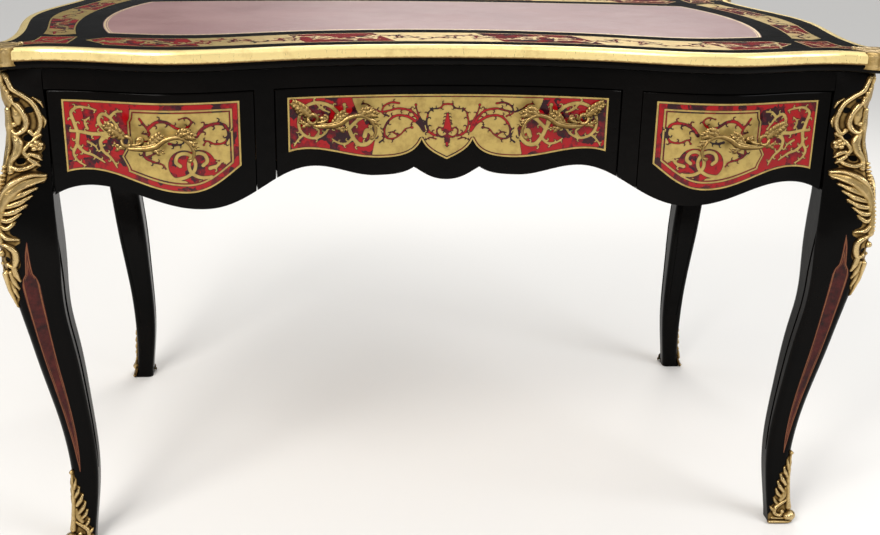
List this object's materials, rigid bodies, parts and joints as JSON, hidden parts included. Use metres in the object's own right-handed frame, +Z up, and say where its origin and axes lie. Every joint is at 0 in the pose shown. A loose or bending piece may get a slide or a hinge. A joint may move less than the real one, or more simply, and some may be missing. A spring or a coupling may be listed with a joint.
{
  "type": "writing desk",
  "caption": "Louis XV style bureau plat: serpentine leather top, frieze drawers, cabriole legs, brass and red shell marquetry, gilt mounts.",
  "frame": {"origin": "on the floor, under the middle of the top", "axes": "+X to the right along the desk's length, -Y towards the drawer side, +Z up"},
  "size_m": [1.296, 0.81, 0.779],
  "materials": {
    "black_lacquer": "gloss",
    "oak": "matte",
    "boulle_marquetry": "gloss, red shell and brass",
    "leather": "polished, gold tooled",
    "polished_brass": "polished",
    "gilt_bronze": "gilt, burnished and matte",
    "screw_steel": "dull"
  },
  "bodies": {
    "desk": {"back_apron": "black_lacquer", "back_marquetry": "boulle_marquetry", "back_pulls": "gilt_bronze", "chute_back_left": "gilt_bronze", "chute_back_right": "gilt_bronze", "chute_front_left": "gilt_bronze", "chute_front_right": "gilt_bronze", "corner_clasp_back_left": "gilt_bronze", "corner_clasp_back_right": "gilt_bronze", "corner_clasp_front_left": "gilt_bronze", "corner_clasp_front_right": "gilt_bronze", "drawer_divider_left": "black_lacquer", "drawer_divider_right": "black_lacquer", "drawer_guides": "oak", "drawer_kickers": "oak", "drawer_runners": "oak", "edge_moulding_back": "polished_brass", "edge_moulding_front": "polished_brass", "edge_moulding_left": "polished_brass", "edge_moulding_right": "polished_brass", "front_top_rail": "black_lacquer", "glue_blocks": "oak", "leather_inset": "leather", "leg_back_left": "black_lacquer", "leg_back_right": "black_lacquer", "leg_front_left": "black_lacquer", "leg_front_right": "black_lacquer", "leg_marquetry_back_left": "boulle_marquetry", "leg_marquetry_back_right": "boulle_marquetry", "leg_marquetry_front_left": "boulle_marquetry", "leg_marquetry_front_right": "boulle_marquetry", "sabot_back_left": "gilt_bronze", "sabot_back_right": "gilt_bronze", "sabot_front_left": "gilt_bronze", "sabot_front_right": "gilt_bronze", "side_apron_left": "black_lacquer", "side_apron_right": "black_lacquer", "side_marquetry_left": "boulle_marquetry", "side_marquetry_right": "boulle_marquetry", "top_board": "black_lacquer", "top_marquetry": "boulle_marquetry", "top_screws": "screw_steel"},
    "centre_drawer": {"centre_drawer_back": "oak", "centre_drawer_bottom": "oak", "centre_drawer_front": "black_lacquer", "centre_drawer_marquetry": "boulle_marquetry", "centre_drawer_pulls": "gilt_bronze", "centre_drawer_sides": "oak"},
    "left_drawer": {"left_drawer_back": "oak", "left_drawer_bottom": "oak", "left_drawer_front": "black_lacquer", "left_drawer_marquetry": "boulle_marquetry", "left_drawer_pulls": "gilt_bronze", "left_drawer_sides": "oak"},
    "right_drawer": {"right_drawer_back": "oak", "right_drawer_bottom": "oak", "right_drawer_front": "black_lacquer", "right_drawer_marquetry": "boulle_marquetry", "right_drawer_pulls": "gilt_bronze", "right_drawer_sides": "oak"}
  },
  "joints": [
    {"name": "centre_drawer_slide", "type": "slide", "parent": "desk", "child": "centre_drawer", "axis": [0, -1, 0], "range_m": [0, 0.36]},
    {"name": "left_drawer_slide", "type": "slide", "parent": "desk", "child": "left_drawer", "axis": [0, -1, 0], "range_m": [0, 0.36]},
    {"name": "right_drawer_slide", "type": "slide", "parent": "desk", "child": "right_drawer", "axis": [0, -1, 0], "range_m": [0, 0.36]}
  ]
}
